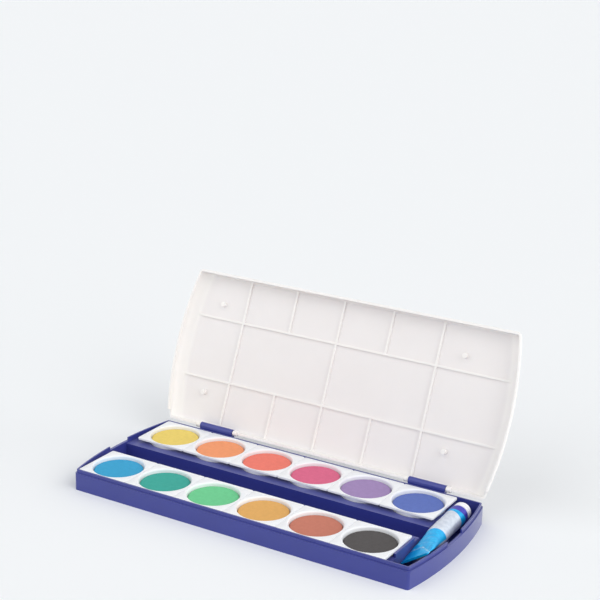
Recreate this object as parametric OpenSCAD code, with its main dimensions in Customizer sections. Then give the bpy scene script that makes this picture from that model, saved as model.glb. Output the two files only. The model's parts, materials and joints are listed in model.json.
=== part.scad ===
// Paint set box: a shallow blue tray with two rows of paint pans, a brush channel, a bay with a
// tube of white, and a white palette lid on two snap hinges. Millimetres, +Z up. The origin is the
// centre of the tray's underside, +X runs along the rows, +Y points to the hinges.

/* [Tray] */
// Length of the tube's bay, from the last pan to the end wall
bay_l = 14.4; // [14.2:0.1:30]
// Space between the two rows of pans
row_space = 25.5; // [25:0.1:32]
// How far the middle of each end bulges past the corners
end_bulge = 5.3; // [4:0.1:8]
// Radius of the tray's upright corners
corner_r = 1.8; // [1.2:0.1:3]
// Height of the shoulder that carries the closed lid
base_h = 11; // [10.6:0.1:12.5]
// Height of the raised lip above the shoulder
lip_h = 2.3; // [1.6:0.1:3]
// Width of the shoulder outside the lip
shoulder_w = 0.9; // [0.8:0.05:1.1]
// Thickness of the lip
lip_t = 0.9; // [0.7:0.05:1.1]
// Thickness of the tray's floor and ledges
floor_t = 1.3; // [1:0.1:1.6]
// Width of the finger notch in the lip at each end
notch_w = 18.8; // [12:0.1:24]
// Width of the brush channel between the ledges
channel_w = 14.4; // [12:0.1:15.5]
// Height of the ledges that the pans drop into
ledge_h = 10; // [9:0.1:10.4]
// Height of the rail beside the front row
rail_h = 12.4; // [11.5:0.1:13]
// Thickness of the rail beside the front row
rail_t = 1.3; // [1.1:0.1:1.4]
// Length of the low stretch at the rail's front end
rail_step = 10.5; // [8:0.1:12]

/* [Pans] */
// Radius of the round opening in a pan's plate
opening_r = 15.7; // [15:0.05:17]
// How much longer the pan pitch is than the opening
plate_side = 3.6; // [3.4:0.05:5]
// How much deeper the plate is than the opening
plate_front = 2.4; // [2.2:0.05:3]
// Gap between neighbouring pans
pan_gap = 0.12; // [0.1:0.01:0.3]
// Height of a pan
pan_h = 8.5; // [8:0.1:8.7]
// Height of the well floors that the pans stand on
well_floor_z = 4.7; // [4.2:0.1:4.9]
// Thickness of a pan's plate
plate_t = 1.3; // [1:0.1:1.6]
// Radius of a plate's corners
plate_corner_r = 1.2; // [0.8:0.1:2]
// Thickness of the cup's wall under the plate
cup_wall = 1; // [0.8:0.05:1.05]
// How much the cup narrows towards its bottom
cup_taper = 0.8; // [0.6:0.05:1]
// Thickness of the cup's bottom
cup_floor = 1; // [0.8:0.1:1.3]
// Clearance round a cup at the bottom of its well
well_gap = 0.3; // [0.25:0.05:0.4]

/* [Paint tablets] */
// Depth of a tablet's face below the plate
tablet_recess = 2; // [1.5:0.1:2.5]
// Clearance round a tablet at the bottom of its cup
tablet_gap = 0.15; // [0.1:0.05:0.25]
// Rounding of a tablet's upper edge
tablet_edge = 0.5; // [0.3:0.1:0.8]

/* [Hinges] */
// Distance of each hinge from the middle
hinge_x = 76; // [60:0.5:84]
// Width of a hinge knuckle
knuckle_w = 24.6; // [16:0.1:30]
// Radius of a knuckle's barrel
barrel_r = 2.1; // [1.9:0.05:2.3]
// Height of the hinge axis above the shoulder
hinge_up = 3.7; // [3.4:0.05:3.9]
// Radius of the lid's hinge pins
pin_r = 1; // [0.8:0.05:1.1]
// Radial clearance of a pin in its hole
pin_gap = 0.06; // [0.03:0.01:0.1]
// Length of a hinge pin
pin_l = 1.8; // [1.4:0.1:2.2]
// Gap between the lid and each end of a knuckle
knuckle_gap = 0.35; // [0.3:0.05:0.5]
// Angle that the lid opens through
open_angle = 113; // [100:0.5:114]

/* [Lid] */
// Height of the lid, rim to top
lid_h = 9.3; // [9.1:0.1:12]
// Thickness of the lid's walls
lid_wall = 1.1; // [1:0.05:1.2]
// Thickness of the lid's top
lid_top = 1.3; // [1:0.1:1.4]
// How far the lid's front stands past the tray
lid_over = 1.2; // [0.8:0.05:1.25]
// How far the lid's ends stand past the tray
lid_side = 0.7; // [0.5:0.05:0.75]
// Thickness of the lid's front wall
lid_front_t = 1.6; // [1.5:0.05:1.8]
// Length of the curve at each end of the lid
lid_end_l = 13; // [10:0.5:16]
// Height of the curve at each end of the lid
lid_end_h = 7.5; // [7:0.1:8]
// Radius along the lid's front and back edges
lid_edge_r = 3.4; // [2.4:0.1:4]
// Radius of the lid's upright corners
lid_corner_r = 2.8; // [2:0.1:3]
// Clearance under the closed lid's rim
lid_gap = 0.05; // [0.04:0.01:0.2]
// Height of the palette ribs
rib_h = 1.1; // [0.6:0.1:1.3]
// Thickness of the palette ribs
rib_t = 1.4; // [0.8:0.1:1.8]
// Distance of the long ribs from the middle
rib_y = 20.15; // [16:0.05:24]
// Radius of the four pegs
peg_r = 1.6; // [1:0.1:1.9]
// Height of the four pegs
peg_h = 2.6; // [1.4:0.1:2.8]

/* [Tube of white] */
// Radius of the tube
tube_r = 5.9; // [5.5:0.05:6]
// Length of the tube from the crimp's end to the shoulder
tube_l = 64.3; // [58:0.1:66]
// Height of the tube's axis
tube_z = 9.4; // [9:0.05:9.9]
// Distance from the tube's shoulder to the tray's back wall
tube_back = 12.6; // [12.3:0.1:14]
// Turn of the tube from the tray's own direction
tube_yaw = 2.5; // [2:0.1:2.8]
// Length that flattens towards the crimp
flat_l = 30; // [22:0.5:36]
// Thickness of the flattened tube where the fold begins
seam_t = 0.7; // [0.5:0.1:1]
// Length of the folded crimp
crimp_l = 3.6; // [2.5:0.1:5]
// Thickness of the folded crimp
crimp_t = 1.4; // [1.1:0.1:1.8]
// Lean of the crimp
crimp_lean = 33; // [28:0.5:35]
// Radius of the nozzle
nozzle_r = 3; // [2.6:0.05:3.4]
// Length of the nozzle
nozzle_l = 4; // [3.4:0.1:4.2]
// Radius of the cap
cap_r = 5.6; // [5.2:0.05:5.7]
// Length of the cap
cap_l = 5.4; // [5.2:0.05:5.7]
// Thickness of the sealing disc in the cap
seal_t = 0.5; // [0.3:0.05:0.6]

/* [Hidden] */
// The set has two rows of six pans. Row 0 is at the back.
columns = 6;
rows = 2;
shell_steps = 16;      // faces along each bulging end
corner_steps = 5;      // faces round each upright corner
round_fn = 96;         // faces on a circle in a preview
embed = 0.5;           // how far one solid feature reaches into the next
clear = 1;             // how far a cut runs past the face it opens

// The pans set the tray's size. Each row lies against its long wall, and the left pans lie
// against the left end.
pan_side_gap = 0.15;
pan_pitch = 2 * opening_r + plate_side;
pan_w = pan_pitch - pan_gap;
pan_d = 2 * opening_r + plate_front;
wall_t = shoulder_w + lip_t;
lip_top = base_h + lip_h;
inner_y = row_space / 2 + pan_d + pan_side_gap;
base_w = 2 * (inner_y + wall_t);

// The ends of the tray and lid are arcs of one circle, through the corners and the bulge.
// end_off is how far such an end lies past the corners at y.
end_big_r = (pow(base_w / 2, 2) + pow(end_bulge, 2)) / (2 * end_bulge);
function end_off(y, inset) = sqrt(pow(end_big_r - inset, 2) - y * y) - end_big_r + end_bulge;
base_l = columns * pan_pitch - pan_gap + pan_side_gap + bay_l - 2 * end_off(inner_y - pan_side_gap, wall_t);
end_centre = end_big_r - base_l / 2 - end_bulge;
function end_x(y, inset) = base_l / 2 + end_off(y, inset);

row_y = inner_y - pan_side_gap - pan_d / 2;
pans_left = -end_x(inner_y - pan_side_gap, wall_t) + pan_side_gap;
pans_right = pans_left + columns * pan_pitch - pan_gap;
pans_mid = (pans_left + pans_right) / 2;
pan_top = well_floor_z + pan_h;
cup_top_r = opening_r + cup_wall;
cup_base_r = cup_top_r - cup_taper;
function pan_x(i) = pans_left + pan_w / 2 + i * pan_pitch;
function pan_y(row) = row == 0 ? row_y : -row_y;

// Wells in the ledges, wider than the cups.
well_base_r = cup_base_r + well_gap;
well_top_r = well_base_r + cup_taper;
well_wall = 1.2;

// Paint tablets stand on the cup floors.
tablet_r = cup_base_r - cup_wall - tablet_gap + cup_taper / 2;
tablet_top = pan_top - tablet_recess;
tablet_base = well_floor_z + cup_floor;

// The right-hand bay starts past the last pans.
ledge_end = pans_right + 0.65;
rail_x = pans_right + 0.3;
rail_end = rail_x + rail_t;

// Hinge: the axis lies behind the back wall, so the barrel stands flush with its outer face.
hinge_y = base_w / 2 + barrel_r;
hinge_z = base_h + hinge_up;
lid_back_t = 1.4;
ear_r = 1.8;
ear_w = 3;
knuckle_drop = 2.1;

// Lid, drawn closed and then turned open about the hinge axis.
rim_z = base_h + lid_gap;
lid_top_z = rim_z + lid_h;
lid_floor_z = lid_top_z - lid_top;
lid_front = -base_w / 2 - lid_over;
lid_back = hinge_y + lid_back_t / 2;
// The back rim is higher, and so are the ends beside it, to pass over the lip.
back_rim_z = lip_top + 0.4;
back_rim_l = 4.6;
// The upper edges of the hinge slots meet the backs of the knuckles at the open angle.
stop_gap = 0.05;
notch_top_z = hinge_z + (barrel_r + stop_gap - lid_back_t / 2 * cos(open_angle)) / sin(open_angle);
lid_arcs = [0, 14, 28, 42, 55, 66, 75, 83, 90];

// Tube: local +Y runs along the tube to its cap.
shoulder_y = base_w / 2 - wall_t - tube_back;
tube_x = ledge_end + 0.7 + tube_r;
half_flat = PI / 2 * tube_r;
tube_sides = 48;
flat_steps = 12;
fold_step = 0.15;
neck_l = 1.2;
neck_step = 0.6;
shoulder_step = 0.1;
thread_gap = 0.3;
bore_r = 1.2;
bore_l = 3;
cap_start = 0.3;
cap_bore_l = nozzle_l - cap_start + seal_t + 0.05;
cradle_t = 2;
cradle_gap = 0.1;
cradle_back = 8;
cradle_front = 6;

tray_colour = [0.16, 0.17, 0.50];
lid_colour = [0.93, 0.92, 0.91];
pan_colour = [0.92, 0.92, 0.92];
tube_colour = [0.55, 0.80, 0.90];
cap_colour = [0.96, 0.96, 0.97];
seal_colour = [0.85, 0.85, 0.80];
// Back row left to right, then front row left to right.
paint_colours = ["gold", "orange", "orangered", "mediumvioletred", "mediumpurple", "royalblue",
                 "deepskyblue", "seagreen", "mediumseagreen", "goldenrod", "sienna", "dimgray"];

// ---------------------------------------------------------------- shared shapes

// Points on an arc about centre c, from angle a to angle b, in n steps.
function arc(c, r, a, b, n) = [for (k = [0:n]) c + r * [cos(a + (b - a) * k / n), sin(a + (b - a) * k / n)]];

// Right half of the tray's outline between y0 and y1, with its ends moved in by inset.
function half_outline(y0, y1, inset, r) =
    let (big = end_big_r - inset,
         low = y0 + r,
         high = y1 - r,
         low_c = [sqrt(pow(big - r, 2) - low * low) - end_centre, low],
         high_c = [sqrt(pow(big - r, 2) - high * high) - end_centre, high],
         low_a = asin(low / (big - r)),
         high_a = asin(high / (big - r)),
         side = arc([-end_centre, 0], big, low_a, high_a, shell_steps))
    concat(arc(low_c, r, -90, low_a, corner_steps),
           [for (k = [1:shell_steps - 1]) side[k]],
           arc(high_c, r, high_a, 90, corner_steps));

function whole_outline(y0, y1, inset, r) =
    let (right = half_outline(y0, y1, inset, r), n = len(right))
    concat(right, [for (k = [n - 1:-1:0]) [-right[k][0], right[k][1]]]);

// The tray's outline, moved in by inset all round.
module tray_outline(inset) {
    polygon(whole_outline(-base_w / 2 + inset, base_w / 2 - inset, inset, max(corner_r - inset, 0.5)));
}

// A solid through a stack of outlines that have the same number of points.
module skin(rings) {
    n = len(rings[0]);
    last = len(rings) - 1;
    points = [for (ring = rings) for (p = ring) p];
    sides = [for (k = [0:last - 1]) for (i = [0:n - 1])
                let (a = k * n + i, b = k * n + (i + 1) % n)
                each [[a, a + n, b + n], [a, b + n, b]]];
    polyhedron(points = points,
               faces = concat([[for (i = [0:n - 1]) i]], sides, [[for (i = [n - 1:-1:0]) last * n + i]]),
               convexity = 6);
}

module rounded_rect(w, d, r) {
    square([w - 2 * r, d], center = true);
    square([w, d - 2 * r], center = true);
    for (sx = [-1, 1], sy = [-1, 1]) {
        translate([sx * (w / 2 - r), sy * (d / 2 - r)]) circle(r, $fn = 32);
    }
}

module along_x(l) {
    rotate([90, 0, 90]) linear_extrude(l, center = true) children();
}

// ---------------------------------------------------------------- tray

// Space over the brush channel and the bay, from the floor up.
module channel_and_bay() {
    translate([0, 0, floor_t]) linear_extrude(lip_top) intersection() {
        tray_outline(wall_t);
        union() {
            translate([-base_l, -channel_w / 2]) square([2 * base_l, channel_w]);
            translate([rail_end, -base_w]) square([base_l, base_w]);
            translate([ledge_end, -channel_w / 2]) square([base_l, base_w]);
        }
    }
}

// Space over the ledges, from their tops up.
module over_ledges() {
    translate([0, 0, ledge_h]) linear_extrude(lip_top) tray_outline(wall_t);
}

module lip() {
    difference() {
        linear_extrude(lip_top) tray_outline(shoulder_w);
        translate([-base_l, -notch_w / 2, base_h]) cube([2 * base_l, notch_w, lip_h + clear]);
    }
}

module wells() {
    for (row = [0:rows - 1], i = [0:columns - 1]) {
        translate([pan_x(i), pan_y(row), well_floor_z])
            cylinder(h = ledge_h - well_floor_z, r1 = well_base_r, r2 = well_top_r, $fn = round_fn);
    }
}

// Hollows under the ledges, round the outsides of the wells.
module underside_hollows() {
    skirt = well_floor_z - floor_t;
    difference() {
        for (side = [-1, 1]) {
            translate([0, 0, -clear]) linear_extrude(ledge_h - floor_t + clear) intersection() {
                tray_outline(wall_t);
                translate([-base_l, side * (channel_w / 2 + floor_t + base_w / 2) - base_w / 2])
                    square([base_l + ledge_end - floor_t, base_w]);
            }
        }
        for (row = [0:rows - 1], i = [0:columns - 1]) {
            translate([pan_x(i), pan_y(row), skirt])
                cylinder(h = ledge_h - skirt, r1 = well_base_r + well_wall,
                         r2 = well_top_r + well_wall, $fn = round_fn);
        }
    }
}

// The rail beside the front row, round at its inner end and stepped down at the front.
module rail() {
    front = -inner_y;
    inner = -row_y + pan_d / 2;
    translate([rail_x, front + rail_step, 0]) cube([rail_t, inner - front - rail_step - rail_t / 2, rail_h]);
    translate([rail_x + rail_t / 2, inner - rail_t / 2, 0]) cylinder(h = rail_h, d = rail_t, $fn = 32);
    translate([rail_x, front - embed, 0]) cube([rail_t, -channel_w / 2 - front + embed, ledge_h]);
}

// One hinge knuckle: a barrel on a gusset against the back wall, with a blind hole in each end.
module knuckle() {
    back = base_w / 2;
    root = back - shoulder_w - embed;
    difference() {
        union() {
            translate([0, hinge_y, hinge_z]) rotate([0, 90, 0])
                cylinder(h = knuckle_w, r = barrel_r, center = true, $fn = round_fn);
            along_x(knuckle_w) polygon([[root, hinge_z - 2 * knuckle_drop - 2 * barrel_r],
                                        [root, lip_top - embed],
                                        [back, lip_top - embed],
                                        [back, hinge_z],
                                        [hinge_y + barrel_r, hinge_z],
                                        [hinge_y + barrel_r, hinge_z - knuckle_drop],
                                        [back, hinge_z - knuckle_drop - 2 * barrel_r]]);
        }
        for (s = [-1, 1]) {
            translate([s * knuckle_w / 2, hinge_y, hinge_z]) rotate([0, 90, 0])
                cylinder(h = 2 * (pin_l + embed), r = pin_r + pin_gap, center = true, $fn = round_fn);
        }
    }
}

// Two low ribs in the bay, hollowed to hold the tube.
module cradles() {
    difference() {
        for (y = [shoulder_y - cradle_back, shoulder_y - tube_l + flat_l + cradle_front]) {
            translate([tube_x - tube_r, y, floor_t - embed]) cube([2 * tube_r, cradle_t, tube_z / 2]);
        }
        tube_place() rotate([-90, 0, 0])
            cylinder(h = 3 * tube_l, r = tube_r + cradle_gap, center = true, $fn = round_fn);
    }
}

module tray() {
    color(tray_colour) union() {
        difference() {
            union() {
                linear_extrude(base_h) tray_outline(0);
                lip();
            }
            channel_and_bay();
            over_ledges();
            wells();
            underside_hollows();
        }
        rail();
        cradles();
        for (s = [-1, 1]) translate([s * hinge_x, 0, 0]) knuckle();
    }
}

// ---------------------------------------------------------------- lid

// One ring of the lid's shell at height z. walls holds how far it lies inside the outer surface at
// the ends, the front and the back.
function lid_ring(z, top, walls) =
    let (wall = walls[0],
         up_end = max(0, z - (top - lid_end_h + wall)) / (lid_end_h - wall),
         up_edge = max(0, z - (top - lid_edge_r + wall)),
         in_end = (lid_end_l - wall) * (1 - sqrt(max(0, 1 - up_end * up_end))),
         edge = lid_edge_r - wall,
         in_edge = edge - sqrt(max(0, edge * edge - up_edge * up_edge)),
         r = max(lid_corner_r - wall, 0.6) + in_edge / 2)
    [for (p = whole_outline(lid_front + walls[1] + in_edge, lid_back - walls[2] - in_edge,
                            wall - lid_side + in_end, r))
        [p[0], p[1], z]];

// The space inside the lid's outer surface, or inside walls of that surface.
module lid_form(bottom, top, walls) {
    rise = lid_end_h - walls[0];
    skin(concat([lid_ring(bottom, top, walls)],
                [for (a = lid_arcs) lid_ring(top - rise + rise * sin(a), top, walls)]));
}

// Two long ribs run the whole length, until the curved ends swallow them.
module long_ribs() {
    for (s = [-1, 1]) {
        translate([-base_l, s * rib_y - rib_t / 2, lid_floor_z - rib_h]) cube([2 * base_l, rib_t, rib_h + embed]);
    }
}

// The cross ribs: three run the whole depth, four only outside the long ribs.
module cross_ribs() {
    for (i = [-2, 0, 2]) cross_rib(i, -base_w, base_w);
    for (i = [-1, 1]) {
        cross_rib(i, -base_w, -rib_y);
        cross_rib(i, rib_y, base_w);
    }
}

module cross_rib(i, y0, y1) {
    translate([pans_mid + i * pan_pitch - rib_t / 2, y0, lid_floor_z - rib_h])
        cube([rib_t, y1 - y0, rib_h + embed]);
}

module pegs() {
    for (sx = [-1, 1], sy = [-1, 1]) {
        translate([pans_mid + sx * 2.5 * pan_pitch, sy * row_y, lid_floor_z - peg_h])
            cylinder(h = peg_h + embed, r = peg_r, $fn = 32);
    }
}

// Gaps in the lid's back wall for the knuckles, and the low cut along the back.
module back_cuts() {
    slot_w = knuckle_w + 2 * knuckle_gap;
    for (s = [-1, 1]) {
        translate([s * hinge_x - slot_w / 2, hinge_y - barrel_r - knuckle_gap, rim_z - clear])
            cube([slot_w, 2 * barrel_r + lid_back_t, notch_top_z - rim_z + clear]);
    }
    translate([-base_l, hinge_y - back_rim_l, rim_z - clear])
        cube([2 * base_l, back_rim_l + 2 * lid_back_t, back_rim_z - rim_z + clear]);
}

// Round ears either side of each knuckle, with the pins that snap into it.
module ears_and_pins() {
    for (s = [-1, 1], e = [-1, 1]) {
        face = s * hinge_x + e * (knuckle_w / 2 + knuckle_gap);
        translate([face + e * ear_w / 2, hinge_y, hinge_z]) rotate([0, 90, 0])
            cylinder(h = ear_w, r = ear_r, center = true, $fn = round_fn);
        translate([face + e * (embed - pin_l) / 2, hinge_y, hinge_z]) rotate([0, 90, 0])
            cylinder(h = pin_l + embed, r = pin_r, center = true, $fn = round_fn);
    }
}

module lid_closed() {
    difference() {
        lid_form(rim_z, lid_top_z, [0, 0, 0]);
        lid_form(rim_z - clear, lid_floor_z, [lid_wall, lid_front_t, lid_back_t]);
        back_cuts();
    }
    intersection() {
        lid_form(rim_z, lid_floor_z + lid_top / 2, [lid_wall, lid_front_t, lid_back_t] / 2);
        union() {
            long_ribs();
            cross_ribs();
        }
    }
    pegs();
    ears_and_pins();
}

module lid() {
    color(lid_colour) translate([0, hinge_y, hinge_z]) rotate([-open_angle, 0, 0])
        translate([0, -hinge_y, -hinge_z]) lid_closed();
}

// ---------------------------------------------------------------- pans and paint

module pan(i, row) {
    cup_h = pan_h - plate_t;
    color(pan_colour) translate([pan_x(i), pan_y(row), well_floor_z]) difference() {
        union() {
            translate([0, 0, cup_h]) linear_extrude(plate_t) rounded_rect(pan_w, pan_d, plate_corner_r);
            cylinder(h = cup_h + embed, r1 = cup_base_r, r2 = cup_top_r, $fn = round_fn);
        }
        translate([0, 0, cup_floor])
            cylinder(h = pan_h - cup_floor, r1 = cup_base_r - cup_wall + cup_taper / 2, r2 = opening_r,
                     $fn = round_fn);
    }
}

module paint(i, row) {
    h = tablet_top - tablet_base;
    color(paint_colours[row * columns + i]) translate([pan_x(i), pan_y(row), tablet_base])
        rotate_extrude($fn = round_fn) polygon(concat([[0, 0], [tablet_r - tablet_edge, 0]],
            arc([tablet_r - tablet_edge, h - tablet_edge], tablet_edge, 0, 90, 4), [[0, h]]));
}

// ---------------------------------------------------------------- tube of white

module tube_place() {
    translate([tube_x, row_y, tube_z]) rotate([0, 0, tube_yaw]) translate([0, shoulder_y - row_y, 0]) children();
}

function soft(x, power) = sign(x) * pow(abs(x), power);

// One ring of the tube at y: t is 0 where it is round and 1 where it is flat, half_t thick each way.
function tube_ring(y, t, half_t) =
    let (flat = t * t * (3 - 2 * t),
         power = 1 - 0.55 * flat,
         wide = tube_r + (half_flat - tube_r) * flat,
         high = tube_r + (half_t - tube_r) * pow(t, 1.25))
    [for (k = [0:tube_sides - 1])
        let (a = 360 * k / tube_sides, u = wide * soft(cos(a), power), v = high * soft(sin(a), power))
        [u * cos(crimp_lean) - v * sin(crimp_lean), y, u * sin(crimp_lean) + v * cos(crimp_lean)]];

// The soft tube: round at the shoulder, flattening to a seam that is folded over at its end.
module tube_wall() {
    flat_start = flat_l - tube_l;
    flat_end = crimp_l - tube_l;
    skin(concat([tube_ring(-neck_l, 0, seam_t / 2)],
                [for (k = [0:flat_steps])
                    tube_ring(flat_start + (flat_end - flat_start) * k / flat_steps, k / flat_steps, seam_t / 2)],
                [tube_ring(flat_end - fold_step, 1, crimp_t / 2), tube_ring(-tube_l, 1, crimp_t / 2)]));
}

module tube() {
    color(tube_colour) tube_place() {
        tube_wall();
        difference() {
            union() {
                translate([0, -neck_l - embed, 0]) rotate([-90, 0, 0])
                    cylinder(h = neck_l + embed, r1 = tube_r - shoulder_step, r2 = nozzle_r + neck_step, $fn = round_fn);
                translate([0, -embed, 0]) rotate([-90, 0, 0])
                    cylinder(h = nozzle_l + embed, r = nozzle_r, $fn = round_fn);
            }
            translate([0, nozzle_l - bore_l, 0]) rotate([-90, 0, 0])
                cylinder(h = bore_l + clear, r = bore_r, $fn = round_fn);
        }
    }
}

module tube_cap() {
    color(cap_colour) tube_place() translate([0, cap_start, 0]) rotate([-90, 0, 0]) difference() {
        cylinder(h = cap_l, r = cap_r, $fn = round_fn);
        translate([0, 0, -clear]) cylinder(h = cap_bore_l + clear, r = nozzle_r + thread_gap, $fn = round_fn);
    }
}

module cap_seal() {
    color(seal_colour) tube_place() translate([0, nozzle_l + 0.05, 0]) rotate([-90, 0, 0])
        cylinder(h = seal_t, r = nozzle_r, $fn = round_fn);
}

// ---------------------------------------------------------------- nodes

tray();
lid();
pan(0, 0);  // pan_01
pan(1, 0);  // pan_02
pan(2, 0);  // pan_03
pan(3, 0);  // pan_04
pan(4, 0);  // pan_05
pan(5, 0);  // pan_06
pan(0, 1);  // pan_07
pan(1, 1);  // pan_08
pan(2, 1);  // pan_09
pan(3, 1);  // pan_10
pan(4, 1);  // pan_11
pan(5, 1);  // pan_12
paint(0, 0);  // paint_01
paint(1, 0);  // paint_02
paint(2, 0);  // paint_03
paint(3, 0);  // paint_04
paint(4, 0);  // paint_05
paint(5, 0);  // paint_06
paint(0, 1);  // paint_07
paint(1, 1);  // paint_08
paint(2, 1);  // paint_09
paint(3, 1);  // paint_10
paint(4, 1);  // paint_11
paint(5, 1);  // paint_12
tube();
tube_cap();
cap_seal();
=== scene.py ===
"""Looks of the paint set box. Metres, in the part's own frame: +X along the pans, +Y to the hinges."""
import functools
import json
import math

import bmesh
import bpy
from mathutils import Matrix, Vector, noise


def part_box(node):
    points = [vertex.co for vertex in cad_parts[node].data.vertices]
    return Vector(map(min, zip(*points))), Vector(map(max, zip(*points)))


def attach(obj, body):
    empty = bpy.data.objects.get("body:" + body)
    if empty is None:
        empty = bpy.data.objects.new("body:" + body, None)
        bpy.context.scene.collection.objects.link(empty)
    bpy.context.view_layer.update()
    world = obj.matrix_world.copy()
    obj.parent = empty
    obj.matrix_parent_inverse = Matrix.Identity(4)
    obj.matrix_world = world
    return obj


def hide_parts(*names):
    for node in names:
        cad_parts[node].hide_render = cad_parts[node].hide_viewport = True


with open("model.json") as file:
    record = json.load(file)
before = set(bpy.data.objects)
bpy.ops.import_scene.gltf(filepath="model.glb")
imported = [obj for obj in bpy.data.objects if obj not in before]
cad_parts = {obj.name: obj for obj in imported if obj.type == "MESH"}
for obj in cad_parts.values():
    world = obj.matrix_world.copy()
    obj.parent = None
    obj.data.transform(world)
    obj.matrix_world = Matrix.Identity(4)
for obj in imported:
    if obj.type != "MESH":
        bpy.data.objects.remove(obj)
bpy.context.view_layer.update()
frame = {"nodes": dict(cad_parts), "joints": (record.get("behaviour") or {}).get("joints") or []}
nodes = frame["nodes"]
MM = 0.001

# ------------------------------------------------------------------ camera, light and floor

CAMERA_AT = Vector((409.95, -675.36, 378.67)) * MM
CAMERA_AIM = Vector((1.70, 20.0, 124.80)) * MM
CAMERA_ROLL = math.radians(1.544)
CAMERA_LENS = 86.7
SENSOR = 36.0

WARM = (1.0, 0.99, 0.975)
WHITE = (1.0, 1.0, 1.0)
BACKGROUND = (0.888, 0.905, 0.922)
FILL = (0.97, 0.98, 1.0)
FILL_STRENGTH = 0.46
PAPER = (0.93, 0.95, 0.965)
PAPER_ROUGH = 0.9
PAPER_GLOSS = 0.1
FLOOR_SIZE = 60
FLOOR_DROP = 0.05 * MM


def look(at, aim, roll=0.0):
    """Matrix that stands at one point, looks at another, and is rolled about that line."""
    back = (at - aim).normalized()
    right = Vector((0, 0, 1)).cross(back).normalized()
    up = back.cross(right)
    turned_right = right * math.cos(roll) + up * math.sin(roll)
    turned_up = back.cross(turned_right)
    return Matrix.Translation(at) @ Matrix((turned_right, turned_up, back)).transposed().to_4x4()


def make_camera():
    data = bpy.data.cameras.new("camera")
    data.lens = CAMERA_LENS
    data.sensor_width = SENSOR
    data.clip_start = 0.01
    data.clip_end = 100.0
    camera = bpy.data.objects.new("camera", data)
    camera.matrix_world = look(CAMERA_AT, CAMERA_AIM, CAMERA_ROLL)
    bpy.context.scene.collection.objects.link(camera)
    bpy.context.scene.camera = camera


def make_sun(name, azimuth, elevation, strength, softness, colour):
    """A soft light from far away, in degrees. Azimuth 0 comes from -Y, and 90 from +X."""
    data = bpy.data.lights.new(name, "SUN")
    data.energy = strength
    data.angle = math.radians(softness)
    data.color = colour
    light = bpy.data.objects.new(name, data)
    a, e = math.radians(azimuth), math.radians(elevation)
    towards = Vector((math.sin(a) * math.cos(e), -math.cos(a) * math.cos(e), math.sin(e)))
    light.matrix_world = look(towards, Vector((0, 0, 0)))
    bpy.context.scene.collection.objects.link(light)


def make_world():
    """A dim sky that lights the box, and a pale one that the camera and the reflections see."""
    world = bpy.data.worlds.new("studio")
    bpy.context.scene.world = world
    world.use_nodes = True
    tree = world.node_tree
    tree.nodes.clear()
    path = tree.nodes.new("ShaderNodeLightPath")
    shows = path.outputs["Is Camera Ray"]
    for kind in ("Is Glossy Ray", "Is Transmission Ray"):
        either = tree.nodes.new("ShaderNodeMath")
        either.operation = "MAXIMUM"
        tree.links.new(shows, either.inputs[0])
        tree.links.new(path.outputs[kind], either.inputs[1])
        shows = either.outputs[0]
    mix = tree.nodes.new("ShaderNodeMixShader")
    tree.links.new(shows, mix.inputs["Fac"])
    for slot, colour, strength in ((1, FILL, FILL_STRENGTH), (2, BACKGROUND, 1.0)):
        sky = tree.nodes.new("ShaderNodeBackground")
        sky.inputs["Color"].default_value = (*colour, 1)
        sky.inputs["Strength"].default_value = strength
        tree.links.new(sky.outputs[0], mix.inputs[slot])
    out = tree.nodes.new("ShaderNodeOutputWorld")
    tree.links.new(mix.outputs[0], out.inputs[0])


def make_floor():
    bpy.ops.mesh.primitive_plane_add(size=FLOOR_SIZE, location=(0, 0, -FLOOR_DROP))
    floor = bpy.context.object
    floor.name = "floor"
    paper = bpy.data.materials.new("paper")
    paper.use_nodes = True
    shader = paper.node_tree.nodes["Principled BSDF"]
    shader.inputs["Base Color"].default_value = (*PAPER, 1)
    shader.inputs["Roughness"].default_value = PAPER_ROUGH
    shader.inputs["Specular IOR Level"].default_value = PAPER_GLOSS
    floor.data.materials.append(paper)


make_camera()
make_sun("side", azimuth=92, elevation=20, strength=2.1, softness=80, colour=WARM)
make_sun("key", azimuth=60, elevation=50, strength=0.32, softness=40, colour=WARM)
make_sun("front_fill", azimuth=-38, elevation=38, strength=0.95, softness=70, colour=WHITE)
make_world()
make_floor()

# ------------------------------------------------------------------ materials

# The middle part of a noise's values is what a ramp or a spread stretches over its own limits.
RAMP_FROM = 0.35
RAMP_TO = 0.65
SPREAD_FROM = 0.3
SPREAD_TO = 0.7


def srgb(red, green, blue):
    """Linear colour of an 8-bit sRGB one."""
    values = [v / 255 for v in (red, green, blue)]
    return tuple(((v + 0.055) / 1.055) ** 2.4 if v > 0.04045 else v / 12.92 for v in values)


def shade(colour, factor):
    return tuple(min(1.0, v * factor) for v in colour)


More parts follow.
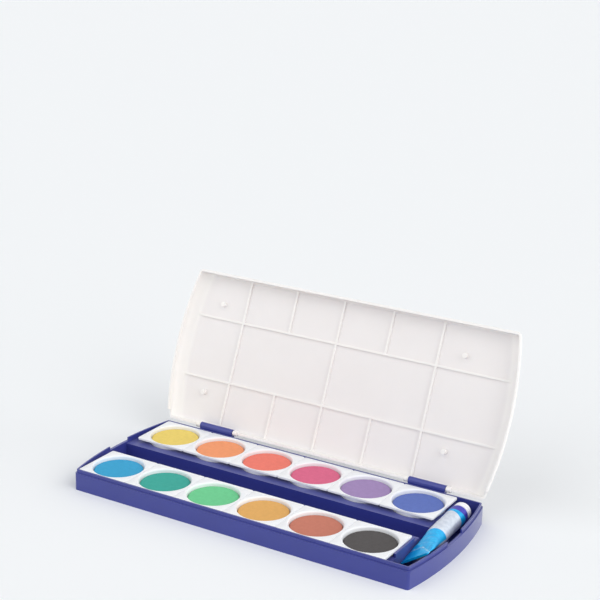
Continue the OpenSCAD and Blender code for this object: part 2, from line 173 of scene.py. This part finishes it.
class Recipe:
    """A node material that is built up in steps."""

    def __init__(self, name):
        self.material = bpy.data.materials.new(name)
        self.material.use_nodes = True
        self.tree = self.material.node_tree
        self.shader = self.tree.nodes["Principled BSDF"]
        self.place = self.tree.nodes.new("ShaderNodeTexCoord").outputs["Object"]

    def give(self, socket, value):
        """Links an input to its source, or gives it a plain value."""
        if isinstance(value, bpy.types.NodeSocket):
            self.tree.links.new(value, socket)
        else:
            socket.default_value = (*value, 1) if socket.type == "RGBA" else value

    def node(self, kind, inputs, **settings):
        node = self.tree.nodes.new(kind)
        for name, value in settings.items():
            setattr(node, name, value)
        for slot, value in inputs.items():
            self.give(node.inputs[slot], value)
        return node

    def set(self, **inputs):
        """Gives inputs of the shader their values or sources."""
        for name, value in inputs.items():
            self.give(self.shader.inputs[name.replace("_", " ")], value)

    def noise(self, scale, detail, rough):
        """Noise over the object, scale in lumps per metre."""
        inputs = {"Vector": self.place, "Scale": scale, "Detail": detail, "Roughness": rough}
        return self.node("ShaderNodeTexNoise", inputs).outputs["Fac"]

    def ramp(self, source, low, high):
        """Colour that passes from low to high as a noise does."""
        node = self.node("ShaderNodeValToRGB", {"Fac": source})
        marks = node.color_ramp.elements
        for mark, at, colour in ((marks[0], RAMP_FROM, low), (marks[1], RAMP_TO, high)):
            mark.position = at
            mark.color = (*colour, 1)
        return node.outputs["Color"]

    def stretch(self, source, start, end, low=0.0, high=1.0, kind="LINEAR"):
        """Value that passes from low to high as the source passes from start to end."""
        inputs = {"Value": source, "From Min": start, "From Max": end, "To Min": low, "To Max": high}
        return self.node("ShaderNodeMapRange", inputs, interpolation_type=kind).outputs["Result"]

    def spread(self, source, low, high):
        """Value that passes from low to high as a noise does."""
        return self.stretch(source, SPREAD_FROM, SPREAD_TO, low, high)

    def step(self, source, edge, blur):
        """0 below the edge and 1 above it, with a soft border. Edge and blur are in millimetres."""
        return self.stretch(source, (edge - blur) * MM, (edge + blur) * MM, kind="SMOOTHSTEP")

    def math(self, operation, *values):
        return self.node("ShaderNodeMath", dict(enumerate(values)), operation=operation).outputs[0]

    def mix(self, low, high, factor):
        """Blend of two colours, each of them a plain colour or a socket."""
        node = self.node("ShaderNodeMix", {"Factor": factor}, data_type="RGBA")
        for socket, colour in zip([i for i in node.inputs if i.type == "RGBA"], (low, high)):
            self.give(socket, colour)
        return [o for o in node.outputs if o.type == "RGBA"][0]

    def bump(self, source, strength, distance):
        """Adds a relief, over those that the shader has already."""
        inputs = {"Strength": strength, "Distance": distance, "Height": source}
        normal = self.shader.inputs["Normal"]
        if normal.is_linked:
            inputs["Normal"] = normal.links[0].from_socket
        self.give(normal, self.node("ShaderNodeBump", inputs).outputs["Normal"])


def moulded_plastic(name, colour, rough, grain=0.02, variation=0.03, glow=0.0, gloss=0.5, bloom=0.0):
    """Injection-moulded plastic: flow marks, uneven gloss, a fine grain, and a pale bloom at a slant."""
    r = Recipe(name)
    flow = r.noise(38, 4, 0.6)
    r.set(Base_Color=r.ramp(flow, shade(colour, 1 - variation), shade(colour, 1 + variation)))
    r.set(Roughness=r.spread(r.noise(40, 1, 0.3), rough * 0.95, rough * 1.06))
    r.set(Specular_IOR_Level=gloss, IOR=1.49, Sheen_Weight=bloom, Sheen_Roughness=0.35)
    r.bump(r.noise(5200, 2, 0.5), 0.12, grain * MM)
    r.bump(r.noise(90, 2, 0.4), 0.25, 2 * grain * MM)
    if glow:
        r.set(Subsurface_Weight=glow, Subsurface_Radius=(0.0022, 0.002, 0.0018), Subsurface_Scale=1.0)
    return r


def gouache(name, colour):
    """Pressed opaque paint: chalky, with a fine grain and a slightly uneven face."""
    r = Recipe(name)
    r.set(Base_Color=r.ramp(r.noise(320, 6, 0.7), shade(colour, 0.96), shade(colour, 1.04)))
    r.set(Roughness=r.spread(r.noise(900, 3, 0.6), 0.72, 0.92), Specular_IOR_Level=0.22)
    r.bump(r.noise(4200, 4, 0.7), 0.35, 0.05 * MM)
    r.bump(r.noise(260, 3, 0.5), 0.3, 0.12 * MM)
    return r


# Painted highlight: the palette's ribs and walls, which stand above its floor, are coloured whiter than the
# floor.
LID_PAINTED_HIGHLIGHT = srgb(245, 242, 239)
LID_FLOOR_UP = 4.35 * MM
HIGHLIGHT_FROM = 0.35 * MM
HIGHLIGHT_TO = 0.95 * MM


def paint_highlight_above_floor(r):
    """Paints a highlight on what stands above the palette's floor, which is a flat face of the open lid."""
    hinge = next(j for j in frame["joints"] if j["name"] == "lid_hinge")
    opened = math.radians(-hinge["range_deg"][0])
    outward = Vector((0, -math.sin(opened), -math.cos(opened)))
    floor = outward.dot(Vector(hinge["pos_m"])) - LID_FLOOR_UP
    height = r.node("ShaderNodeVectorMath", {0: r.place, 1: outward}, operation="DOT_PRODUCT")
    # Where the surface stands above the floor, the colour turns to the painted highlight.
    highlight_mask = r.stretch(height.outputs["Value"], floor + HIGHLIGHT_FROM, floor + HIGHLIGHT_TO)
    plain_colour = r.shader.inputs["Base Color"].links[0].from_socket
    r.set(Base_Color=r.mix(plain_colour, LID_PAINTED_HIGHLIGHT, highlight_mask))


def lid_plastic():
    r = moulded_plastic("lid_white_plastic", srgb(237, 233, 232), 0.34, variation=0.008, glow=0.15)
    # Paints a highlight on the palette's ribs and walls.
    paint_highlight_above_floor(r)
    return r


TRAY_BLUE = moulded_plastic("tray_blue_plastic", srgb(47, 56, 141), 0.34, 0.012, gloss=0.6, bloom=0.75)
LID_WHITE = lid_plastic()
PAN_WHITE = moulded_plastic("pan_white_plastic", srgb(243, 245, 248), 0.36, variation=0.01, glow=0.1)
CAP_WHITE = moulded_plastic("cap_white_plastic", srgb(243, 243, 246), 0.34, variation=0.01, glow=0.1)
SEAL_FOAM = moulded_plastic("seal_foam", srgb(225, 225, 215), 0.8, grain=0.08)

# ------------------------------------------------------------------ tools for shapes

WELD = 0.002 * MM
FLAT_ANGLE = math.radians(0.6)
BEVEL_W = 0.35 * MM
BEVEL_ANGLE = math.radians(32)
# An edge that turns less than this is shaded smooth.
SMOOTH_PAN = math.radians(38)
SMOOTH_PAINT = math.radians(60)
SMOOTH_TUBE = math.radians(50)


def soften(node, segments):
    """Rounds a CAD node's edges with modifiers, and shades it smooth between them."""
    weld = node.modifiers.new("weld", "WELD")
    weld.merge_threshold = WELD
    flat = node.modifiers.new("flat", "DECIMATE")
    flat.decimate_type = "DISSOLVE"
    flat.angle_limit = FLAT_ANGLE
    bevel = node.modifiers.new("bevel", "BEVEL")
    bevel.width = BEVEL_W
    bevel.segments = segments
    bevel.limit_method = "ANGLE"
    bevel.angle_limit = BEVEL_ANGLE
    bevel.use_clamp_overlap = True
    bevel.harden_normals = True
    even = node.modifiers.new("even", "WEIGHTED_NORMAL")
    even.keep_sharp = True
    for polygon in node.data.polygons:
        polygon.use_smooth = True


def wear(node, recipe):
    """Gives a CAD node one material, in each of its slots."""
    if not node.data.materials:
        node.data.materials.append(recipe.material)
    for slot in node.material_slots:
        slot.material = recipe.material


def turn(count):
    """Angles in equal steps round a circle."""
    return [2 * math.pi * i / count for i in range(count)]


def quarter(steps):
    """Cosine and sine of angles in equal steps from 0 to 90 degrees."""
    angles = [math.pi / 2 * i / steps for i in range(steps + 1)]
    return [(math.cos(a), math.sin(a)) for a in angles]


def loft(rings):
    """Mesh through a stack of rings, in millimetres, of the same number of points. Both ends are closed."""
    bm = bmesh.new()
    rows = [[bm.verts.new(p * MM) for p in ring] for ring in rings]
    count = len(rows[0])
    for lower, upper in zip(rows, rows[1:]):
        for i in range(count):
            j = (i + 1) % count
            bm.faces.new((lower[i], lower[j], upper[j], upper[i]))
    bm.faces.new(rows[0])
    bm.faces.new(rows[-1])
    return bm


def finish_mesh(name, bm, recipe, angle, place):
    """Turns mesh code into an object, shaded smooth except across edges that turn more than an angle."""
    bmesh.ops.remove_doubles(bm, verts=bm.verts, dist=WELD)
    bmesh.ops.recalc_face_normals(bm, faces=bm.faces)
    for edge in bm.edges:
        edge.smooth = len(edge.link_faces) == 2 and edge.calc_face_angle(0) < angle
    for face in bm.faces:
        face.smooth = True
    mesh = bpy.data.meshes.new(name)
    bm.to_mesh(mesh)
    bm.free()
    obj = bpy.data.objects.new(name, mesh)
    bpy.context.scene.collection.objects.link(obj)
    obj.data.materials.append(recipe.material)
    obj.matrix_world = place
    return obj


# ------------------------------------------------------------------ CAD nodes that stay

wear(nodes["tray"], TRAY_BLUE)
soften(nodes["tray"], segments=3)
wear(nodes["lid"], LID_WHITE)
soften(nodes["lid"], segments=2)
wear(nodes["cap_seal"], SEAL_FOAM)

# ------------------------------------------------------------------ pans

PLATE_T = 1.3
PLATE_CORNER = 1.2
PLATE_EDGE = 0.16
PLATE_UNDER_EDGE = 0.12
OPENING_R = 15.68
OPENING_EDGE = 1.1
CUP_FLOOR = 1.0
CUP_TOP_R = 16.7
CUP_BASE_R = 15.9
CUP_INNER_BASE_R = 15.3
CENTRE_R = 0.3
# Inset and height of the points round the cup's foot, and where its side ends under the plate.
CUP_FOOT = ((0.5, 0.0), (0.15, 0.12), (0.0, 0.45))
CUP_SIDE_END = (0.03, 0.25)

PAN_SIDES = 132
CORNER_STEP = math.radians(0.42)
CORNER_STEPS = 8
# Keeps a corner's rays off the even ones.
CORNER_SHIFT = 0.0001
TINY = 1e-9


def plate_angles(size):
    """Angles round a pan, close together where its plate's corners are."""
    corner = math.atan2(size.y, size.x)
    angles = turn(PAN_SIDES)
    for middle in (corner, math.pi - corner, math.pi + corner, 2 * math.pi - corner):
        angles += [middle + CORNER_STEP * k + CORNER_SHIFT for k in range(-CORNER_STEPS, CORNER_STEPS + 1)]
    return sorted(angles)


def plate_outline(size, angles, inset, z):
    """A rounded rectangle, met by the same rays from the middle as the round rings are."""
    half_x, half_y = size.x / 2 - inset, size.y / 2 - inset
    r = PLATE_CORNER - inset
    cx, cy = half_x - r, half_y - r
    out = []
    for a in angles:
        c, s = math.cos(a), math.sin(a)
        reach = min(half_x / max(abs(c), TINY), half_y / max(abs(s), TINY))
        if reach * abs(c) > cx and reach * abs(s) > cy:
            # The ray leaves through the round corner: solve |t (c, s) - corner centre| = r.
            b = abs(c) * cx + abs(s) * cy
            t = b + math.sqrt(max(0.0, b * b - (cx * cx + cy * cy - r * r)))
            reach = min(reach, t)
        out.append(Vector((reach * c, reach * s, z)))
    return out


def pan_mesh(size):
    """A lift-out pan: a thin square plate, and a round cup with a soft mouth."""
    angles = plate_angles(size)
    plate = functools.partial(plate_outline, size, angles)
    top, under = size.z, size.z - PLATE_T

    def ring(radius, z):
        return [Vector((radius * math.cos(a), radius * math.sin(a), z)) for a in angles]

    rings = [ring(CENTRE_R, 0)]
    rings += [ring(CUP_BASE_R - inset, z) for inset, z in CUP_FOOT]
    rings += [ring(CUP_TOP_R - CUP_SIDE_END[0], under - CUP_SIDE_END[1]), ring(CUP_TOP_R, under)]
    rings += [plate(PLATE_UNDER_EDGE, under), plate(0, under + PLATE_UNDER_EDGE)]
    rings += [plate(PLATE_EDGE * (1 - c), top - PLATE_EDGE * (1 - s)) for c, s in quarter(2)]
    rings += [ring(OPENING_R + OPENING_EDGE * (1 - s), top - OPENING_EDGE * (1 - c)) for c, s in quarter(9)]
    rings += [ring(CUP_INNER_BASE_R, CUP_FLOOR), ring(CENTRE_R, CUP_FLOOR)]
    return loft(rings)


def make_pan(name):
    low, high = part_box(name)
    place = Matrix.Translation(((low.x + high.x) / 2, (low.y + high.y) / 2, low.z))
    pan = finish_mesh("moulded_" + name, pan_mesh((high - low) / MM), PAN_WHITE, SMOOTH_PAN, place)
    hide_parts(name)
    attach(pan, name)


for name in [n for n in nodes if n.startswith("pan_")]:
    make_pan(name)

# ------------------------------------------------------------------ paint tablets

# Node, the name of its paint, and the colour of its paint.
PAINTS = {
    "paint_01": ("yellow", (237, 211, 113)),
    "paint_02": ("orange", (243, 158, 112)),
    "paint_03": ("vermilion", (239, 128, 113)),
    "paint_04": ("magenta", (219, 107, 140)),
    "paint_05": ("violet", (162, 138, 185)),
    "paint_06": ("ultramarine", (97, 117, 187)),
    "paint_07": ("cyan", (62, 165, 210)),
    "paint_08": ("turquoise", (65, 169, 155)),
    "paint_09": ("green", (113, 206, 148)),
    "paint_10": ("ochre", (226, 173, 101)),
    "paint_11": ("sienna", (198, 124, 105)),
    "paint_12": ("black", (85, 82, 82)),
}
TABLET_SIDES = 120
TABLET_EDGE = 0.55
TABLET_FOOT = (0.2, 0.3)
FACE_RINGS = 22
FACE_CENTRE = 0.012
# How far the face lies below the solid's, and how much deeper it has dried in the middle.
FACE_DROP = 0.12
DISH = 0.05
# Lumps per millimetre, and their height.
FACE_LUMPS = ((0.11, 0.10), (0.45, 0.03))
# The outer part of the face, as a share of its radius, has shrunk unevenly from the cup.
PULL_FROM = 0.9
PULL = 0.06
PULL_LUMPS = 0.2


def circle(radius, z):
    return [Vector((radius * math.cos(a), radius * math.sin(a), z)) for a in turn(TABLET_SIDES)]


def dry(p, radius, seed):
    """Moves a point of a tablet's face to where the paint has dried."""
    where = Vector((17.3 * seed, 5.1 * seed, 0))
    far = p.xy.length / radius
    lumps = sum(noise.noise(p * scale + where) * height for scale, height in FACE_LUMPS)
    p.z = p.z - FACE_DROP + lumps * (1 - 0.6 * far ** 8) - DISH * (1 - far ** 6)
    if far > PULL_FROM:
        uneven = noise.noise(Vector((p.x * PULL_LUMPS, p.y * PULL_LUMPS, seed))) + 1
        p.xy = p.xy * (1 - PULL * uneven * (far - PULL_FROM))


def tablet_mesh(size, seed):
    """A pressed tablet: a round edge, and a face that is slightly uneven where the paint has dried."""
    radius, height = size.x / 2, size.z
    foot = [circle(radius - TABLET_FOOT[0], 0), circle(radius, TABLET_FOOT[1])]
    face = [circle(radius - TABLET_EDGE * (1 - c), height - TABLET_EDGE * (1 - s)) for c, s in quarter(6)]
    inner = radius - TABLET_EDGE
    face += [circle(inner * (1 - k / FACE_RINGS), height) for k in range(1, FACE_RINGS)]
    face += [circle(inner * FACE_CENTRE, height)]
    for ring in face:
        for p in ring:
            dry(p, radius, seed)
    return loft(foot + face)


def make_tablet(name, seed):
    low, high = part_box(name)
    place = Matrix.Translation(((low.x + high.x) / 2, (low.y + high.y) / 2, low.z))
    colour_name, colour = PAINTS[name]
    paint = gouache("gouache_" + colour_name, srgb(*colour))
    shape = tablet_mesh((high - low) / MM, seed)
    tablet = finish_mesh("tablet_" + name[-2:], shape, paint, SMOOTH_PAINT, place)
    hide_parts(name)
    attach(tablet, "pan_" + name[-2:])


for seed, name in enumerate(PAINTS, 1):
    make_tablet(name, seed)

# ------------------------------------------------------------------ tube of white: its form

# The tube is turned in its bay about TUBE_PIVOT. Its own +Y runs along it to the cap, from its shoulder.
TUBE_PIVOT = Vector((105.065, 29.65, 9.4))
TUBE_SHOULDER = 4.45
TUBE_YAW = math.radians(2.5)
TUBE_PLACE = (Matrix.Translation(TUBE_PIVOT * MM) @ Matrix.Rotation(TUBE_YAW, 4, "Z")
              @ Matrix.Translation((0, TUBE_SHOULDER * MM, 0)))
TUBE_SIDES = 144
TUBE_R = 5.9
TUBE_L = 64.3
FLAT_L = 30.0
CRIMP_L = 3.6
CRIMP_T = 1.4
SEAM_T = 0.7
# The folded crimp is thicker than the foil above it, from a little past its start.
CRIMP_LAP = 0.1
# How square the flat end's section gets, and how late its height falls.
SQUARENESS = 0.55
LATENESS = 1.25
# Turn of the flat crimp from level.
LEAN = math.radians(33)
HALF_FLAT = math.pi / 2 * TUBE_R
FLAT_START = FLAT_L - TUBE_L
FLAT_END = CRIMP_L - TUBE_L

# Folds across the foil: place along the tube, slope, width and depth.
CREASES = ((-45.0, 0.25, 0.7, 0.22), (-48.5, -0.32, 0.6, 0.30), (-39.0, -0.12, 0.9, 0.10))
FOLD_AT = 53.3
FOLD_SLANT = 1.05
FOLD_W = 0.7
FOLD_DEPTH = 0.55
# Lumps per millimetre across, along and through the tube, a seed, and their height.
DENTS = ((0.16, 0.07, 0.1), 3, 0.28)
WRINKLES = ((0.42, 0.26, 0.0), 9, 0.16)
DENT_BIAS = 0.35
# The dents start past a smooth end, over a fade, and are slight on the crimp.
SMOOTH_L = 9
SMOOTH_FADE = 10
CRIMP_SHARE = 0.15
# Where the tube is this much thicker than its crimp, on one side, it takes the whole depth of a dent.
DENT_ROOM = 1.2
# Shares of the crimp's half thickness that a dent starts past, and that it leaves.
DENT_CLEAR = 1.02
DENT_LEAST = 0.9
GROOVE_PITCH = 0.62
GROOVE_DEPTH = 0.1

BODY_STEP = 0.55
CRIMP_STEP = 0.155
# The body's first ring lies this far past its neck.
BODY_START = 0.02
# Two rings edge the crimp's start, and no other ring of the body comes near them.
CRIMP_EDGE = (0.05, -0.15)
CRIMP_CLEAR = 0.3
# The crimp's rings stop this near to its end, where the last one goes.
LAST_STEP = 0.2
NECK_L = 1.2
NOZZLE_R = 3.0
NOZZLE_L = 4.0
NOZZLE_EDGE = 0.3
BORE_R = 1.2
BORE_L = 2.9
BORE_TAPER = 0.05
THREAD_PITCH = 1.2
THREAD_DEPTH = 0.12
THREAD_STEPS = 24
THREAD_START = 0.1
THREAD_SHORT = 0.3
# Radius and place of the rings over the rolled shoulder to the nozzle's foot.
SHOULDER = ((TUBE_R - 0.05, -NECK_L + 0.1), (TUBE_R - 0.35, -NECK_L + 0.3), (NOZZLE_R + 0.7, -0.08),
            (NOZZLE_R + 0.02, 0.0), (NOZZLE_R - 0.25, 0.1))


def soft(value, power):
    return math.copysign(abs(value) ** power, value)


def foil_noise(kind, u, y, v):
    (across, along, through), seed, _ = kind
    return noise.noise(Vector((u * across, y * along, seed + v * through)))


def dent_depth(u, y, v):
    """Depth of the dents, creases and folds at a point of the tube's skin."""
    depth = DENTS[2] * (foil_noise(DENTS, u, y, v) + DENT_BIAS)
    for at, slope, width, deep in CREASES:
        depth += deep * math.exp(-abs(y - at - slope * u) / width)
    # The main fold lies straight on the left, then slants to the corner.
    fold = FOLD_AT + FOLD_SLANT * max(0.0, u - 1)
    depth += FOLD_DEPTH * math.exp(-abs(-y - fold) / FOLD_W)
    return max(0.0, depth + WRINKLES[2] * abs(foil_noise(WRINKLES, u, y, v)))


def tube_point(a, y):
    """A point of the tube's skin: round at the shoulder, flat at the crimp, and dented between."""
    t = min(1.0, max(0.0, (FLAT_START - y) / (FLAT_START - FLAT_END)))
    flat = t * t * (3 - 2 * t)
    power = 1 - SQUARENESS * flat
    half = (CRIMP_T if y < FLAT_END - CRIMP_LAP else SEAM_T) / 2
    wide = TUBE_R + (HALF_FLAT - TUBE_R) * flat
    high = TUBE_R + (half - TUBE_R) * t ** LATENESS
    u, v = wide * soft(math.cos(a), power), high * soft(math.sin(a), power)
    # Dents only go inwards, and never through the other side.
    fade = min(1.0, max(0.0, (-y - SMOOTH_L) / SMOOTH_FADE)) * (1 if y > FLAT_END else CRIMP_SHARE)
    room = max(0.0, abs(v) - half * DENT_CLEAR)
    sunk = abs(v) - dent_depth(u, y, v) * fade * min(1.0, room / DENT_ROOM)
    v = math.copysign(max(sunk, min(abs(v), half * DENT_LEAST)), v)
    if y < FLAT_END:
        groove = GROOVE_DEPTH * (0.5 + 0.5 * math.cos(y * 2 * math.pi / GROOVE_PITCH))
        v -= math.copysign(groove, v) * min(1.0, abs(v) / half)
    return Vector((u * math.cos(LEAN) - v * math.sin(LEAN), y, u * math.sin(LEAN) + v * math.cos(LEAN)))


def body_stations():
    """Places of the body's rings, close together over the crimp's grooves."""
    ys = [-NECK_L - BODY_START]
    while ys[-1] > FLAT_END:
        ys.append(ys[-1] - BODY_STEP)
    ys = [y for y in ys if y > FLAT_END + CRIMP_CLEAR] + [FLAT_END + edge for edge in CRIMP_EDGE]
    while ys[-1] > -TUBE_L + LAST_STEP:
        ys.append(ys[-1] - CRIMP_STEP)
    ys[-1] = -TUBE_L
    return ys


def head_ring(radius, y, thread=0.0):
    """A round ring whose points line up with those of the leaning body."""
    untwist = Matrix.Rotation(-LEAN, 3, "Y")
    out = []
    for a in turn(TUBE_SIDES):
        r = radius + thread * math.cos(2 * math.pi * y / THREAD_PITCH - a)
        out.append(untwist @ Vector((r * math.cos(a), y, r * math.sin(a))))
    return out


def tube_mesh():
    """The tube from its bore, out over the threaded nozzle and the shoulder, and down to the crimp."""
    head = [head_ring(r, y) for r, y in SHOULDER]
    for k in range(1, THREAD_STEPS + 1):
        y = THREAD_START + (NOZZLE_L - THREAD_SHORT) * k / THREAD_STEPS
        head.append(head_ring(NOZZLE_R - THREAD_DEPTH, y, THREAD_DEPTH))
    head += [head_ring(NOZZLE_R - NOZZLE_EDGE, NOZZLE_L), head_ring(BORE_R, NOZZLE_L)]
    head += [head_ring(BORE_R - BORE_TAPER, NOZZLE_L - BORE_L)]
    body = [[tube_point(a, y) for a in turn(TUBE_SIDES)] for y in body_stations()]
    return loft(head[::-1] + body)


# ------------------------------------------------------------------ tube of white: its print

# Ends of the violet band, of the cyan ring and of the silver, down the tube.
BAND_END = 6.9
RING_END = 9.9
PANEL_START = 34.8
PRINT_BLUR = 0.15
BAND_CURVE = 60.0
PRINT_SLANT = 0.25
# The panel covers the upper face, down to a line that climbs to the crimp, which it goes round.
PANEL_SIDE = -3.2
PANEL_CLIMB = 0.10
WRAP_AT = 58.0
# A painted highlight along the fold above the crimp: its half width, its blur, how strongly it shows, and
# its colour.
FOLD_HIGHLIGHT_W = 0.6
FOLD_HIGHLIGHT_BLUR = 0.5
FOLD_HIGHLIGHT_SHARE = 0.95
FOLD_HIGHLIGHT = srgb(196, 232, 250)


def printed_foil():
    """Lacquered aluminium: bands at the cap's end, and a coloured panel over the flat end's upper face."""
    r = Recipe("tube_print")
    add, take, times = (functools.partial(r.math, kind) for kind in ("ADD", "SUBTRACT", "MULTIPLY"))
    cloud = r.noise(420, 4, 0.6)
    silver = r.ramp(cloud, srgb(206, 216, 230), srgb(226, 234, 245))
    cyan = r.ramp(cloud, srgb(0, 168, 236), srgb(20, 194, 252))
    violet = r.ramp(cloud, srgb(58, 54, 172), srgb(74, 70, 194))

    # Down the tube, along and through its flat end, and across the print as the tube lies in the bay.
    x, y, z = r.node("ShaderNodeSeparateXYZ", {0: r.place}).outputs
    down = times(y, -1.0)
    u = add(times(x, math.cos(LEAN)), times(z, math.sin(LEAN)))
    v = take(times(z, math.cos(LEAN)), times(x, math.sin(LEAN)))
    across = times(take(u, v), math.sqrt(0.5))

    curved = times(times(across, across), BAND_CURVE)
    slanted = times(across, PRINT_SLANT)
    below_band = r.step(add(down, curved), BAND_END, PRINT_BLUR)
    below_ring = r.step(take(down, slanted), RING_END, PRINT_BLUR)
    on_panel = r.step(add(down, slanted), PANEL_START, PRINT_BLUR)
    climb = times(take(down, PANEL_START * MM), PANEL_CLIMB)
    on_top = r.step(take(v, climb), PANEL_SIDE, PRINT_BLUR)
    upper = r.math("MAXIMUM", on_top, r.step(down, WRAP_AT, PRINT_BLUR))
    body = r.mix(silver, cyan, times(on_panel, upper))
    printed = r.mix(violet, r.mix(cyan, body, below_ring), below_band)

    # Painted highlight: a pale colour in patches along the fold above the crimp.
    slant = times(r.math("MAXIMUM", take(u, MM), 0.0), FOLD_SLANT)
    off_fold = r.math("ABSOLUTE", take(take(down, slant), FOLD_AT * MM))
    near_fold = take(1.0, r.step(off_fold, FOLD_HIGHLIGHT_W, FOLD_HIGHLIGHT_BLUR))
    patchy = r.spread(r.noise(600, 2, 0.5), 0.0, 1.0)
    fold_highlight = times(times(near_fold, patchy), FOLD_HIGHLIGHT_SHARE)

    r.set(Base_Color=r.mix(printed, FOLD_HIGHLIGHT, fold_highlight), Metallic=0.35, Specular_IOR_Level=0.5)
    r.set(Roughness=r.spread(r.noise(90, 1, 0.3), 0.31, 0.36))
    r.bump(r.noise(900, 3, 0.6), 0.08, 0.03 * MM)
    r.bump(r.noise(210, 3, 0.5), 0.18, 0.12 * MM)
    return r


tube = finish_mesh("foil_tube", tube_mesh(), printed_foil(), SMOOTH_TUBE, TUBE_PLACE)
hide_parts("tube")
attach(tube, "tube")

# ------------------------------------------------------------------ screw cap

CAP_START = 0.3
CAP_L = 5.4
CAP_R = 5.6
CAP_DRAFT = 0.14
CAP_RIM = 0.3
CAP_EDGE = 1.1
CAP_BORE = 3.3
CAP_DEPTH = 4.25
FLUTES = 44
FLUTE_SIDES = 6
FLUTE_DEPTH = 0.16
FLUTE_START = 0.95
FLUTE_STEP = 0.5
FLUTE_STEPS = 6
# How much the cap narrows at each step, and how short the flutes' ends are.
FLUTE_DRAFT = 0.02
FLUTE_RUN_IN = 0.05
FLUTE_RUN_OUT = 0.2
# Radius and depth of the points round the dish in the cap's end.
CAP_DISH = ((3.9, 0.0), (3.6, 0.15), (0.6, 0.2))


def cap_ring(radius, y, groove=0.0):
    out = []
    for a in turn(FLUTES * FLUTE_SIDES):
        r = radius - groove * max(0.0, math.cos(a * FLUTES)) ** 2
        out.append(Vector((r * math.cos(a), y + CAP_START, r * math.sin(a))))
    return out


def cap_mesh():
    """Moulded cap: fine flutes round its side, a round rim and a shallow dish in its end."""
    top_r = CAP_R - CAP_DRAFT
    rings = [cap_ring(CAP_BORE, CAP_DEPTH), cap_ring(CAP_BORE, CAP_RIM), cap_ring(CAP_BORE + CAP_RIM, 0)]
    rings += [cap_ring(CAP_R - CAP_RIM, 0), cap_ring(CAP_R, CAP_RIM)]
    rings += [cap_ring(CAP_R, FLUTE_START - FLUTE_RUN_IN)]
    rings += [cap_ring(CAP_R - FLUTE_DRAFT * k, FLUTE_START + FLUTE_STEP * k, FLUTE_DEPTH)
              for k in range(FLUTE_STEPS + 1)]
    rings += [cap_ring(top_r, CAP_L - CAP_EDGE - FLUTE_RUN_OUT)]
    rings += [cap_ring(top_r - CAP_EDGE * (1 - c), CAP_L - CAP_EDGE * (1 - s)) for c, s in quarter(6)]
    rings += [cap_ring(radius, CAP_L - depth) for radius, depth in CAP_DISH]
    return loft(rings)


cap = finish_mesh("screw_cap", cap_mesh(), CAP_WHITE, SMOOTH_TUBE, TUBE_PLACE)
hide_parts("tube_cap")
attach(cap, "cap")

# ------------------------------------------------------------------ end

bpy.context.scene.view_settings.view_transform = "Standard"
